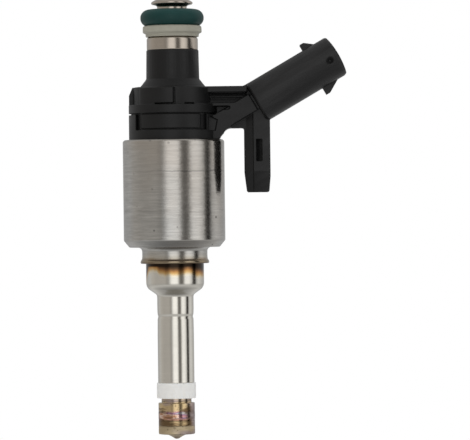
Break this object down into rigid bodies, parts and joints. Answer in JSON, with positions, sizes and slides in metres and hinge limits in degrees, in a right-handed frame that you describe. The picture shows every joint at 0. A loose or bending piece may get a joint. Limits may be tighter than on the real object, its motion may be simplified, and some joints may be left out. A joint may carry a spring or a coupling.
{
  "type": "fuel injector",
  "caption": "Direct injection fuel injector: slim steel nozzle with a seal ring, steel magnet housing, black plastic cap with a slanted plug socket and a locating leg, and an O-ring inlet.",
  "frame": {"origin": "on the injector's axis at the lower edge of the nozzle tip's cylinder, where the spray nub begins", "axes": "+Z along the injector's axis towards the fuel inlet, +X towards the plug, in the plane of the plug and the locating leg"},
  "size_m": [0.0458, 0.0206, 0.0897],
  "materials": {
    "tip_steel": "bright steel with heat tint at its weld",
    "nozzle_steel": "ground steel with heat tint near the welds",
    "seal_white": "white PTFE",
    "bright_steel": "ground",
    "ball_steel": "polished ball",
    "magnet_steel": "turned soft magnetic steel",
    "spring_steel": "drawn wire",
    "bobbin_plastic": "glass-filled nylon",
    "copper": "enamelled copper wire",
    "housing_steel": "fine turned steel",
    "black_plastic": "satin moulded glass-filled nylon",
    "contact_metal": "rolled brass",
    "inlet_steel": "bright turned steel",
    "filter_plastic": "moulded nylon",
    "backup_plastic": "satin beige plastic",
    "o_ring_rubber": "smooth dark green rubber"
  },
  "bodies": {
    "injector_body": {"valve_seat": "tip_steel", "nozzle_body": "nozzle_steel", "combustion_seal": "seal_white", "lower_guide": "bright_steel", "adjusting_sleeve": "bright_steel", "return_spring": "spring_steel", "inner_pole": "magnet_steel", "spacer_sleeve": "bright_steel", "coil_bobbin": "bobbin_plastic", "coil_winding": "copper", "yoke_cover": "magnet_steel", "magnet_housing": "housing_steel", "connector_overmould": "black_plastic", "terminal_left": "contact_metal", "terminal_right": "contact_metal", "inlet_tube": "inlet_steel", "inlet_filter_ring": "contact_metal", "inlet_filter_screen": "filter_plastic", "backup_ring": "backup_plastic", "inlet_o_ring": "o_ring_rubber"},
    "needle_group": {"needle": "bright_steel", "needle_ball": "ball_steel", "upper_stop_ring": "bright_steel", "lower_stop_ring": "bright_steel", "prestroke_spring": "spring_steel"},
    "armature_body": {"armature": "magnet_steel"}
  },
  "joints": [
    {"name": "needle_lift", "type": "slide", "parent": "injector_body", "child": "needle_group", "axis": [0, 0, 1], "range_m": [0, 0.00008], "stiffness_N_per_m": 2000, "deforming": ["return_spring"]},
    {"name": "armature_free_stroke", "type": "slide", "parent": "needle_group", "child": "armature_body", "axis": [0, 0, 1], "range_m": [0, 0.00004], "stiffness_N_per_m": 1000, "deforming": ["prestroke_spring"]}
  ]
}
